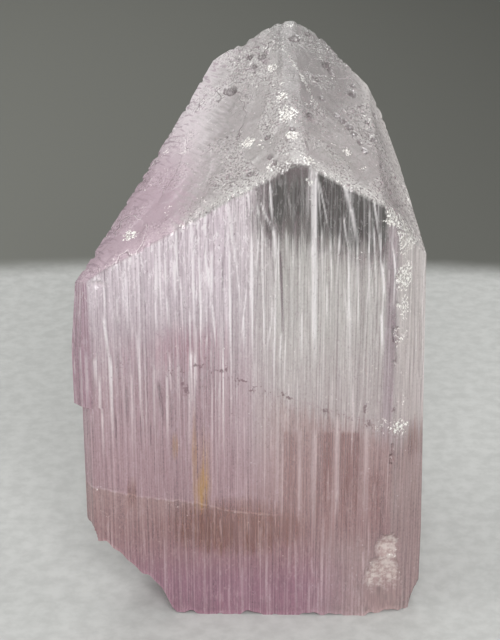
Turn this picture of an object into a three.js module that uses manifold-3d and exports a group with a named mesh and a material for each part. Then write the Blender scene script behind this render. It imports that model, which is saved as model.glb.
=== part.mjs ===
// A terminated kunzite crystal: one natural piece of clear pink spodumene, 64 mm tall, 38 mm wide
// and 19 mm deep, standing on the flat of its broken base.
//
// Millimetres. +Z is up, along the crystal's long axis. The wide striated prism face looks along -Y.
// The origin is at the middle of the footprint, on the plane that the crystal stands on.
//
// The prism is a tall loft with growth ridges that run up it. A roof of termination faces is cut
// across its top and a fracture across its bottom, then chips and bruises come out of its edges.

import * as THREE from "three";
import { mergeVertices } from "three/addons/utils/BufferGeometryUtils.js";
import Module from "manifold-3d";

// ---- Driving dimensions ----

// The corners of the cross-section, anticlockwise from above, starting at the front face's left end.
const PLAN = [
  { name: "front left", at: [-17.3, -9.4] },
  { name: "front right", at: [15.1, -9.4] },
  { name: "right bevel", at: [18.2, -6.6] },
  { name: "right shoulder", at: [15.8, 1.0] },
  { name: "back right shoulder", at: [13.9, 4.9] },
  { name: "back right", at: [7.0, 9.4] },
  { name: "back left", at: [-4.5, 9.4] },
  { name: "left blade", at: [-18.0, -8.1] },
];

// The heights at which the loft has a row of points. The close pair makes the ledge of the blade.
const LEVELS = [-3, 4, 9, 14, 20, 25.9, 26.5, 30, 34, 39, 44, 49, 55, 61, 68];
const SIDE_STEPS = 152; // points round the loft

// The left blade stands proud above the ledge and fades out below the shoulder.
const BLADE = { ledge: 26.2, fullest: 33, top: 43, proud: 0.9, reach: 3 };

// The right side swells towards the foot.
const SWELL = { from: 8, width: 10, top: 44, height: 34, out: 0.8 };

// The roof: its ridge leaves the front face at the gable and climbs to the apex at the back. Each
// termination face climbs to the back and falls to its own side, by so much for each millimetre.
const GABLE = { x: 5.0, y: -9.4, z: 54.6 };
const LEFT_FACE = { x: 5.0, z: 54.6, back: 0.58, aside: 0.6 };
const RIGHT_FACE = { x: 5.0, z: 54.6, back: 0.49, aside: -0.54 };
const STEEP_FACE = { x: 13.8, z: 49.8, back: 0.4, aside: -1.58 };
const WORN_RIDGE = { x: 5.0, z: 54.2, back: 0.53, aside: 0.0 };

// Growth ridges and grooves all round the prism.
const RIDGE_COUNT = 170;
const RIDGE_HALF_WIDTH = [0.35, 1.1];
const RIDGE_HEIGHT = [-0.17, 0.13];
const RIDGE_LENGTH = [14, 60];
const RIDGE_TAPER = 6;

// The bold blades and grooves of the front face. They lean by so much for each millimetre down.
const FRONT_BLADES = [
  { x: 5.9, lean: 0.02, top: 56, bottom: 25, halfWidth: 0.6, height: 0.42 },
  { x: 2.2, lean: 0.03, top: 52, bottom: 33, halfWidth: 0.5, height: 0.3 },
  { x: 3.3, lean: 0.0, top: 51, bottom: 29, halfWidth: 0.4, height: -0.4 },
  { x: -1.2, lean: 0.05, top: 51, bottom: 36, halfWidth: 0.5, height: 0.3 },
  { x: 10.1, lean: 0.17, top: 53, bottom: 41, halfWidth: 0.5, height: 0.35 },
  { x: 12.8, lean: 0.09, top: 51, bottom: 36, halfWidth: 0.5, height: 0.35 },
  { x: -14.9, lean: 0.12, top: 37, bottom: 26, halfWidth: 0.6, height: 0.4 },
  { x: -8.0, lean: 0.01, top: 46, bottom: 9, halfWidth: 0.5, height: -0.3 },
];

// The fracture under the crystal rises in two scoops from the foot to the blade on the left.
const FOOT_LEFT = -8.4;
const STEEP_SCOOP = { to: -11.6, rise: 5.4 };
const GENTLE_SCOOP = { to: -18.6, rise: 5.4 };

// Single chips: where they are, their half sizes, and how they are turned about Z and X, in degrees.
const CHIPS = [
  { name: "foot chip", at: [14.3, -10.3, 5.6], half: [3.4, 1.5, 5.4], turn: [18, 3] },
  { name: "foot chip, second shell", at: [16.3, -9.6, 8.6], half: [1.9, 1.5, 2.8], turn: [40, -20] },
  { name: "foot corner chip", at: [20.2, -7.3, -1.6], half: [2.2, 4.4, 5.0], turn: [0, 0] },
  { name: "left shoulder notch", at: [-16.2, -10.1, 40.4], half: [1.4, 1.1, 0.6], turn: [10, 40] },
  { name: "left heel chip", at: [-18.7, -9.1, 9.4], half: [1.6, 2.0, 2.6], turn: [0, 0] },
  { name: "right shoulder bruise", at: [15.9, -10.3, 47.2], half: [1.7, 1.4, 1.7], turn: [30, 20] },
  { name: "gable bruise", at: [5.4, -10.6, 55.0], half: [2.4, 1.5, 1.5], turn: [0, 25] },
  { name: "apex nick", at: [2.9, 9.9, 64.6], half: [0.6, 2.2, 0.7], turn: [0, 0] },
  { name: "upper left nick", at: [-1.4, 9.9, 62.2], half: [0.8, 2.0, 0.8], turn: [0, 0] },
  { name: "back foot chip", at: [4.0, 10.7, 1.2], half: [6.0, 2.4, 3.4], turn: [8, -12] },
];

// Rows of small angular nicks along bruised edges, from one point of the plan to another.
const ROOF_NICKS = [
  { name: "back left edge", from: [-4.5, 9.4], to: [-18.0, -8.1], count: 17, size: [0.3, 0.8] },
  { name: "front left edge", from: [-15, -9.4], to: [3, -9.4], count: 10, size: [0.3, 0.6] },
  { name: "front right edge", from: [6.5, -9.4], to: [15, -9.4], count: 8, size: [0.35, 0.8] },
  { name: "back edge", from: [-4, 9.4], to: [7, 9.4], count: 7, size: [0.3, 0.6] },
  { name: "back right edge", from: [7.0, 9.4], to: [13.9, 4.9], count: 5, size: [0.3, 0.7] },
  { name: "right edge", from: [13.9, 4.9], to: [18.2, -6.6], count: 7, size: [0.3, 0.6] },
];
const CRUST_NICKS = { x: 15.5, y: -9.4, bottom: 20, top: 46, count: 18, size: [0.4, 0.9] };

// The grain of the cut surfaces.
const ROOF_STEP = 1.4;
const ROOF_GRAIN = 0.13;
const BREAK_STEP = 1.6;
const BREAK_GRAIN = 0.22;
const BLOCK = { width: 44, depth: 24, reach: 30 };

// ---- Small tools ----

const wasm = await Module();
wasm.setup();

// A repeatable stream of numbers from 0 to 1.
function seeded(seed) {
  let state = seed;
  return () => {
    state = (state * 1664525 + 1013904223) % 4294967296;
    return state / 4294967296;
  };
}

const mix = (a, b, share) => a + (b - a) * share;
const ramp = (value) => Math.min(1, Math.max(0, value));

// A closed three.js geometry as a solid that can be joined and cut.
function solidOf(geometry, matrix = new THREE.Matrix4()) {
  const bare = geometry.clone().applyMatrix4(matrix);
  bare.deleteAttribute("normal");
  bare.deleteAttribute("uv");
  const merged = mergeVertices(bare, 1e-4);
  return new wasm.Manifold(
    new wasm.Mesh({
      numProp: 3,
      vertProperties: new Float32Array(merged.attributes.position.array),
      triVerts: new Uint32Array(merged.index.array),
    }),
  );
}

// A solid as a three.js geometry with flat faces.
function geometryOf(solid) {
  const mesh = solid.getMesh();
  const shared = new THREE.BufferGeometry()
    .setAttribute("position", new THREE.BufferAttribute(mesh.vertProperties, 3))
    .setIndex(new THREE.BufferAttribute(mesh.triVerts, 1));
  const flat = shared.toNonIndexed();
  flat.computeVertexNormals();
  return flat;
}

// ---- The prism ----

// The points round the plan, each with its running distance, its way out, and how much of the ridges'
// relief it takes: corners take little, so that the crystal's edges stay sharp.
function planRing() {
  const corners = PLAN.map(({ at }) => new THREE.Vector2(...at));
  const sides = corners.map((from, i) => corners[(i + 1) % corners.length].clone().sub(from));
  const outs = sides.map((side) => new THREE.Vector2(side.y, -side.x).normalize());
  const girth = sides.reduce((sum, side) => sum + side.length(), 0);
  const ring = [];
  let run = 0;
  sides.forEach((side, i) => {
    const pieces = Math.max(2, Math.round((SIDE_STEPS * side.length()) / girth));
    const before = outs[(i + outs.length - 1) % outs.length];
    for (let step = 0; step < pieces; step++) {
      const share = step / pieces;
      ring.push({
        point: corners[i].clone().addScaledVector(side, share),
        out: step ? outs[i] : outs[i].clone().add(before).normalize(),
        distance: run + side.length() * share,
        relief: ramp(0.2 + Math.min(share, 1 - share) * side.length()),
      });
    }
    run += side.length();
  });
  return { ring, girth };
}

// Ridges and grooves with tapered ends, scattered round the prism, and the bold ones of the front.
function growthRidges(girth) {
  const random = seeded(7);
  const scattered = Array.from({ length: RIDGE_COUNT }, () => {
    const middle = mix(LEVELS[0], LEVELS.at(-1), random());
    const length = mix(...RIDGE_LENGTH, random());
    return {
      at: girth * random(),
      lean: 0,
      halfWidth: mix(...RIDGE_HALF_WIDTH, random() ** 2),
      height: mix(...RIDGE_HEIGHT, random()),
      bottom: middle - length / 2,
      top: middle + length / 2,
    };
  });
  const bold = FRONT_BLADES.map((blade) => ({ ...blade, at: blade.x - PLAN[0].at[0] }));
  return [...scattered, ...bold];
}

// How far the ridges lift the surface at a running distance and a height.
function ridgeRelief(ridges, girth, distance, z) {
  return ridges.reduce((lift, ridge) => {
    const gap = Math.abs(distance - ridge.at - ridge.lean * (ridge.top - z));
    const across = Math.min(gap, girth - gap) / ridge.halfWidth;
    if (across >= 1) return lift;
    const ends = ramp((z - ridge.bottom) / RIDGE_TAPER) * ramp((ridge.top - z) / RIDGE_TAPER + 0.3);
    return lift + ridge.height * (1 - across) * ends;
  }, 0);
}

// How far the left blade and the swollen right side move a point sideways.
function sideShift(x, z) {
  const near = ramp(1 - (x - PLAN.at(-1).at[0]) / BLADE.reach);
  const above = z > BLADE.ledge ? ramp((BLADE.top - z) / (BLADE.top - BLADE.fullest)) : 0;
  const swell = ramp((x - SWELL.from) / SWELL.width) * ramp((SWELL.top - z) / SWELL.height);
  return SWELL.out * swell - BLADE.proud * near * above;
}

// A cylinder whose wall is moved onto the ridged outline.
function prism() {
  const { ring, girth } = planRing();
  const ridges = growthRidges(girth);
  const rows = LEVELS.length - 1;
  const loft = new THREE.CylinderGeometry(1, 1, 2, ring.length, rows).rotateX(Math.PI / 2);
  const place = loft.attributes.position;
  for (let i = 0; i < place.count; i++) {
    const [x, y] = [place.getX(i), place.getY(i)];
    const z = LEVELS[Math.round(((place.getZ(i) + 1) / 2) * rows)];
    if (Math.hypot(x, y) < 0.5) {
      place.setXYZ(i, 0, 0, z);
      continue;
    }
    const turn = 1 + Math.atan2(y, x) / (2 * Math.PI);
    const { point, out, distance, relief } = ring[Math.round(turn * ring.length) % ring.length];
    const lift = ridgeRelief(ridges, girth, distance, z) * relief;
    place.setXYZ(i, point.x + out.x * lift + sideShift(point.x, z), point.y + out.y * lift, z);
  }
  return solidOf(loft);
}

// ---- The roof and the fracture ----

// The termination faces, with low growth hillocks.
function roofHeight(x, y) {
  const faces = [LEFT_FACE, RIGHT_FACE, STEEP_FACE, WORN_RIDGE].map(
    (face) => face.z + face.back * (y - GABLE.y) + face.aside * (x - face.x),
  );
  const hillocks = 0.14 * Math.sin(0.9 * x + 0.6 * y) * Math.sin(0.8 * y - 0.35 * x + 1);
  return Math.min(...faces) + hillocks;
}

// The fracture. Where it is below zero the foot is cut flat instead.
function breakHeight(x, y) {
  const steep = ramp((FOOT_LEFT - x) / (FOOT_LEFT - STEEP_SCOOP.to)) ** 0.8 * STEEP_SCOOP.rise;
  const share = ramp((STEEP_SCOOP.to - x) / (STEEP_SCOOP.to - GENTLE_SCOOP.to));
  const backEdge = 0.5 * Math.max(0, y - 4.5) ** 1.2;
  const ripples = 0.3 * Math.sin(1.7 * Math.hypot(x + 22, y + 14));
  return steep + share * GENTLE_SCOOP.rise + backEdge + ripples * ramp(steep + backEdge) - 0.3;
}

// A block over the whole plan. One side follows a height function with a grain, the other is flat.
function block(step, heightAt, grain, flatAt) {
  const across = Math.round(BLOCK.width / step);
  const along = Math.round(BLOCK.depth / step);
  const box = mergeVertices(bareBox(BLOCK.width, BLOCK.depth, 2, across, along));
  const place = box.attributes.position;
  const random = seeded(31);
  const way = Math.sign(flatAt);
  for (let i = 0; i < place.count; i++) {
    const [x, y] = [place.getX(i), place.getY(i)];
    const rough = mix(-grain, grain, random());
    place.setZ(i, place.getZ(i) * way > 0 ? flatAt : heightAt(x, y) + rough);
  }
  return solidOf(box);
}

function bareBox(width, depth, height, across, along) {
  const box = new THREE.BoxGeometry(width, depth, height, across, along, 1);
  box.deleteAttribute("normal");
  box.deleteAttribute("uv");
  return box;
}

// ---- Chips and nicks ----

function placed(geometry, at, half, [aboutZ, aboutX]) {
  const turn = new THREE.Euler(
    THREE.MathUtils.degToRad(aboutX),
    0,
    THREE.MathUtils.degToRad(aboutZ),
    "ZYX",
  );
  const place = new THREE.Matrix4().compose(
    new THREE.Vector3(...at),
    new THREE.Quaternion().setFromEuler(turn),
    new THREE.Vector3(...half),
  );
  return solidOf(geometry, place);
}

// A shell-shaped chip: a faceted ball, stretched and turned.
function chip({ at, half, turn }) {
  return placed(new THREE.IcosahedronGeometry(1, 3), at, half, turn);
}

// Small angular nicks of random size, set along a path.
function nicks(count, size, pathAt, seed) {
  const random = seeded(seed);
  return Array.from({ length: count }, (_, i) => {
    const at = pathAt((i + random()) / count);
    const half = [mix(...size, random()), mix(...size, random()), mix(...size, random())];
    return placed(new THREE.OctahedronGeometry(1), at, half, [180 * random(), 180 * random()]);
  });
}

function roofNicks({ from, to, count, size }, seed) {
  const pathAt = (share) => {
    const [x, y] = [mix(from[0], to[0], share), mix(from[1], to[1], share)];
    return [x, y, roofHeight(x, y)];
  };
  return nicks(count, size, pathAt, seed);
}

function crustNicks({ x, y, bottom, top, count, size }) {
  return nicks(count, size, (share) => [x, y, mix(bottom, top, share)], 5);
}

// ---- The crystal ----

function crystal() {
  const ground = bareBox(60, 40, 10, 1, 1).translate(0, 0, -5);
  const cuts = [
    block(ROOF_STEP, roofHeight, ROOF_GRAIN, GABLE.z + BLOCK.reach),
    block(BREAK_STEP, breakHeight, BREAK_GRAIN, -BLOCK.reach),
    solidOf(ground),
    ...CHIPS.map((one) => chip(one)),
    ...ROOF_NICKS.flatMap((edge, i) => roofNicks(edge, 11 + i)),
    ...crustNicks(CRUST_NICKS),
  ];
  const body = cuts.reduce((left, cut) => left.subtract(cut), prism());

  const geometry = geometryOf(body);
  geometry.computeBoundingBox();
  const { min, max } = geometry.boundingBox;
  return geometry.translate(-(min.x + max.x) / 2, -(min.y + max.y) / 2, -min.z);
}

const kunzite = new THREE.MeshStandardMaterial({
  color: "#c9adb5",
  roughness: 0.16,
  metalness: 0,
  transparent: true,
  opacity: 0.6,
  flatShading: true,
});

const mesh = new THREE.Mesh(crystal(), kunzite);
mesh.name = "crystal";

const part = new THREE.Group();
part.add(mesh);

export default part;
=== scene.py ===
import math

import bpy
import numpy as np
from mathutils import Matrix, Vector
from mathutils.geometry import delaunay_2d_cdt


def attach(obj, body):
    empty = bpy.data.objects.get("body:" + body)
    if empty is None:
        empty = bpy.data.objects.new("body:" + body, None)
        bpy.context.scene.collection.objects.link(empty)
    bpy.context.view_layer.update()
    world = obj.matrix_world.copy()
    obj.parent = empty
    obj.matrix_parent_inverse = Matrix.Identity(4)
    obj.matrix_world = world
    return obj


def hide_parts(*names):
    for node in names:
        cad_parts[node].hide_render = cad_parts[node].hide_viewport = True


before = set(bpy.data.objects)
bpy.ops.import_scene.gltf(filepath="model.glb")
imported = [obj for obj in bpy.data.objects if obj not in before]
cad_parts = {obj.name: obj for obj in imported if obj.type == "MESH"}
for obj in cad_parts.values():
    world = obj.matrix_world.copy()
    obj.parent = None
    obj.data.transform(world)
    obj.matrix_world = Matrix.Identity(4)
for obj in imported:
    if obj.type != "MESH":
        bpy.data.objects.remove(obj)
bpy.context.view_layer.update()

# ---- Camera ----
# A long lens looks down on the wide front face from above the crystal's shoulders. It stands a
# touch to the right, so that the narrow bevel at the right edge shows.
MM = 0.001  # sizes are written in millimetres
LOOKING_DOWN = 24  # degrees
FROM_THE_RIGHT = 1.3  # degrees
CAMERA_AWAY = 189
CAMERA_AIM = Vector((-0.25, -0.6, 33))
LENS = 95.6

tilt = math.radians(LOOKING_DOWN)
aside = math.radians(FROM_THE_RIGHT)
camera_data = bpy.data.cameras.new("camera")
camera_data.lens = LENS
camera = bpy.data.objects.new("camera", camera_data)
away = Vector((math.sin(aside) * math.cos(tilt), -math.cos(aside) * math.cos(tilt), math.sin(tilt)))
camera.location = (CAMERA_AIM + CAMERA_AWAY * away) * MM
camera.rotation_euler = (math.pi / 2 - tilt, 0, aside)
bpy.context.collection.objects.link(camera)
bpy.context.scene.camera = camera
bpy.context.scene.view_settings.view_transform = "Standard"


# ---- Floor ----
# A pale oval mat with a soft edge, wide enough to fill the view in front of the crystal. It lies on
# a flat grey studio ground that runs far back and darkens to the right.
MAT_RADIUS = 98
MAT_WIDER = 1.8
MAT_EDGE = 5
MAT_RAGGED = 1.5
SHADE_REACH = 140  # the ground darkens from this far left to this far right
GROUND_SIZE = 6000


class Wire:
    """A shader socket that can stand in a sum."""

    def __init__(self, tree, socket):
        self.tree = tree
        self.socket = socket

    def node(self, kind, settings=None, output=0, **inputs):
        """A new node in this wire's tree: its settings, then what goes into its sockets."""
        made = self.tree.nodes.new("ShaderNode" + kind)
        for name, value in (settings or {}).items():
            if name == "stops":
                fill_ramp(made.color_ramp, value)
            else:
                setattr(made, name, value)
        for name, value in inputs.items():
            key = int(name[1:]) if name[1:].isdigit() else name.replace("_", " ")
            if isinstance(value, Wire):
                self.tree.links.new(value.socket, made.inputs[key])
            else:
                made.inputs[key].default_value = value
        return Wire(self.tree, made.outputs[output])

    def math(self, operation, *values):
        slots = {f"_{i}": value for i, value in enumerate(values)}
        return self.node("Math", {"operation": operation}, **slots)

    def __add__(self, other):
        return self.math("ADD", self, other)

    def __sub__(self, other):
        return self.math("SUBTRACT", self, other)

    def __mul__(self, other):
        return self.math("MULTIPLY", self, other)

    def __truediv__(self, other):
        return self.math("DIVIDE", self, other)

    def __rsub__(self, other):
        return self.math("SUBTRACT", other, self)

    def __abs__(self):
        return self.math("ABSOLUTE", self)

    def at_most(self, other):
        return self.math("MINIMUM", self, other)

    def at_least(self, other):
        return self.math("MAXIMUM", self, other)

    __radd__ = __add__
    __rmul__ = __mul__


def fill_ramp(ramp, stops):
    while len(ramp.elements) < len(stops):
        ramp.elements.new(0.5)
    for element, (place, colour) in zip(ramp.elements, stops):
        element.position = place
        element.color = colour


def paint(code):
    """A colour as it is written on a swatch, such as d9c6cf, in the light values that a shader takes."""
    parts = [int(code[i : i + 2], 16) / 255 for i in (0, 2, 4)]
    return (*[p / 12.92 if p < 0.04045 else ((p + 0.055) / 1.055) ** 2.4 for p in parts], 1)


def ease(value, low, high):
    """0 below low, 1 above high, and a smooth step between; it runs down if high is under low."""
    settings = {"interpolation_type": "SMOOTHSTEP"}
    ends = {"From_Min": min(low, high), "From_Max": max(low, high)}
    to = {"To_Min": 0.0, "To_Max": 1.0} if low < high else {"To_Min": 1.0, "To_Max": 0.0}
    return value.node("MapRange", settings, Value=value, **ends, **to)


def stained(factor, under, over):
    """One colour laid over another."""
    return factor.node("Mix", {"data_type": "RGBA"}, output=2, _0=factor, _6=under, _7=over)


def new_material(name):
    """An empty material with its output node, and a wire of the object's place in millimetres."""
    material = bpy.data.materials.new(name)
    material.use_nodes = True
    tree = material.node_tree
    tree.nodes.clear()
    output = tree.nodes.new("ShaderNodeOutputMaterial")
    start = Wire(tree, tree.nodes.new("ShaderNodeTexCoord").outputs["Object"])
    place = start.node("VectorMath", {"operation": "SCALE"}, _0=start, Scale=1 / MM)
    return material, output, place


def axes(place):
    """The three numbers of a place."""
    split = place.node("SeparateXYZ", Vector=place).socket.node
    return [Wire(place.tree, socket) for socket in split.outputs]


def grain(place, stretch, scale, detail=2.0, roughness=0.5):
    """Noise over a place that is first squeezed along each axis."""
    squeezed = place.node("VectorMath", {"operation": "MULTIPLY"}, _0=place, _1=stretch)
    return place.node("TexNoise", {}, Vector=squeezed, Scale=scale, Detail=detail, Roughness=roughness)


def finish_material(output, surface, volume=None):
    tree = surface.tree
    tree.links.new(surface.socket, output.inputs["Surface"])
    if volume:
        tree.links.new(volume.socket, output.inputs["Volume"])


def studio_ground():
    material, output, place = new_material("studio ground")
    across = place.node("VectorMath", {"operation": "MULTIPLY"}, _0=place, _1=(1 / MAT_WIDER, 1, 1))
    away = place.node("VectorMath", {"operation": "LENGTH"}, output=1, _0=across)
    mat = ease(away + MAT_RAGGED * grain(place, (1, 1, 1), 0.2), MAT_RADIUS + MAT_EDGE, MAT_RADIUS - MAT_EDGE)
    mottle = ease(grain(place, (1, 1, 1), 0.5, 4.0, 0.6), 0.3, 0.7)
    pale = stained(mottle, paint("b3b4b2"), paint("c0c1bf"))
    shade = ease(axes(place)[0], -SHADE_REACH, SHADE_REACH)
    colour = stained(mat, stained(shade, paint("7b7c76"), paint("474843")), pale)
    finish_material(output, place.node("BsdfPrincipled", {}, Base_Color=colour, Roughness=0.85))
    return material


half = GROUND_SIZE / 2 * MM
ground_mesh = bpy.data.meshes.new("ground")
corners = [(-half, -half, 0), (half, -half, 0), (half, half, 0), (-half, half, 0)]
ground_mesh.from_pydata(corners, [], [(0, 1, 2, 3)])
ground = bpy.data.objects.new("ground", ground_mesh)
ground_mesh.materials.append(studio_ground())
bpy.context.collection.objects.link(ground)


# ---- Lights ----
# Large soft boxes stand round the crystal: the front one is the main light, and the others fill in.
# A grey room round them gives the glassy faces something plain to reflect.
BOXES = [
    {"name": "top", "at": (-60, 20, 420), "size": (420, 300), "watts": 0.75, "tint": (1, 1, 1)},
    {"name": "left", "at": (-380, -120, 220), "size": (260, 320), "watts": 0.5, "tint": (1, 0.99, 0.98)},
    {"name": "right", "at": (360, 40, 200), "size": (260, 320), "watts": 0.35, "tint": (1, 0.99, 0.98)},
    {"name": "front", "at": (60, -420, 330), "size": (300, 200), "watts": 2.2, "tint": (1, 1, 1)},
    {"name": "back", "at": (40, 400, 300), "size": (300, 200), "watts": 0.45, "tint": (1, 1, 1)},
]
ROOM = "7a7c77"
ROOM_STRENGTH = 0.5

for box in BOXES:
    lamp = bpy.data.lights.new(box["name"] + " soft box", "AREA")
    lamp.shape = "RECTANGLE"
    lamp.size, lamp.size_y = [side * MM for side in box["size"]]
    lamp.energy = box["watts"]
    lamp.color = box["tint"]
    holder = bpy.data.objects.new(lamp.name, lamp)
    holder.location = Vector(box["at"]) * MM
    aim = CAMERA_AIM * MM - holder.location
    holder.rotation_euler = aim.to_track_quat("-Z", "Y").to_euler()
    bpy.context.collection.objects.link(holder)

room = bpy.data.worlds.new("room")
bpy.context.scene.world = room
room.use_nodes = True
room.node_tree.nodes["Background"].inputs["Color"].default_value = paint(ROOM)
room.node_tree.nodes["Background"].inputs["Strength"].default_value = ROOM_STRENGTH


# ---- The crystal ----
# One piece of clear pink spodumene. It grew as a tall prism with a roof of termination faces, and
# broke off its matrix at the foot. Growth left fine upright ridges on every side of it.
PLAN = np.array(  # the corners of the cross-section, anticlockwise from the front face's left end
    [
        (-17.4, -9.4), (15.1, -9.4), (18.5, -6.6), (15.9, 1.0),
        (13.9, 4.9), (7.0, 9.4), (-4.5, 9.4), (-18.3, -8.3),
    ]
)
FRONT = -9.4
COLUMN_GAP = [0.085, 0.1, 0.13, 0.16, 0.16, 0.16, 0.16, 0.14]  # between points along each side
LOWER_ROWS = 42
UPPER_ROWS = 54
LEDGE = 26.2  # the left blade stands proud above this height
LEDGE_HALF = 0.1  # of the ledge's own thickness
BLADE = {"fullest": 33, "top": 43, "proud": 0.9, "reach": 3}
SWELL = {"from": 8, "width": 10, "top": 44, "height": 34, "out": 0.8}

# Each termination face passes through (x, front, z), climbs to the back and falls to its side.
ROOF = [
    {"x": 5.0, "z": 54.6, "back": 0.58, "aside": 0.6},
    {"x": 5.0, "z": 54.6, "back": 0.49, "aside": -0.54},
    {"x": 13.8, "z": 49.8, "back": 0.4, "aside": -1.58},
    {"x": 5.0, "z": 54.2, "back": 0.53, "aside": 0.0},
]
HILLOCKS = {"count": 26, "shortest": 0.9, "longest": 5.0, "steepness": 0.005}
LEFT_EDGE = {"along x": 0.611, "along y": 0.792, "out": 9.31}  # the roof's long left edge, seen from above
WORN = {"deep": 0.6, "wide": 2.2, "ends": 4.7, "fades": 6}
STEP_HEIGHT = 0.06  # of the shallow growth steps on the roof
STEP_WAVES = [  # turns per millimetre to the right and to the back, strength and start
    (0.7, 0.35, 1.0, 1.0), (-0.45, 0.9, 0.8, 2.0), (1.5, 0.8, 0.5, 0.0), (-1.9, 1.3, 0.3, 3.0),
    (4.1, -2.9, 0.14, 0.5), (3.3, 5.2, 0.12, 1.5), (7.3, 4.2, 0.07, 2.5),
]
STEP_LEVEL = 0.35  # the waves carry one more layer above this value
STEP_EDGE = 0.12
EDGE_RIPPLE = 0.012
ROOF_GAP = 0.22  # between points
BREAK_GAP = 0.5
BREAK_LEAST = 0.05
SCOOPS = [(-8.4, 3.2, 0.8, 5.4), (-11.6, 7, 1, 5.4)]  # under the left: start, width, curve and rise of each
BACK_RISE = {"from": 4.5, "rise": 0.5, "curve": 1.2}
BREAK_RINGS = {"x": -22, "y": -14, "tight": 1.7, "height": 0.3}  # round where the break began
BREAK_WAVES = [(0.8, 0.5, 0.25, 0), (1.9, -1.3, 0.2, 2), (4, 3, 0.1, 0)]
CAP_MARGIN = 0.4
CAP_ROWS = 0.87  # the distance between rows of points, over the distance in a row
CAP_SHAKE = 0.25
CHIP_MARGIN = 1.095  # in a chip's own half sizes

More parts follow.
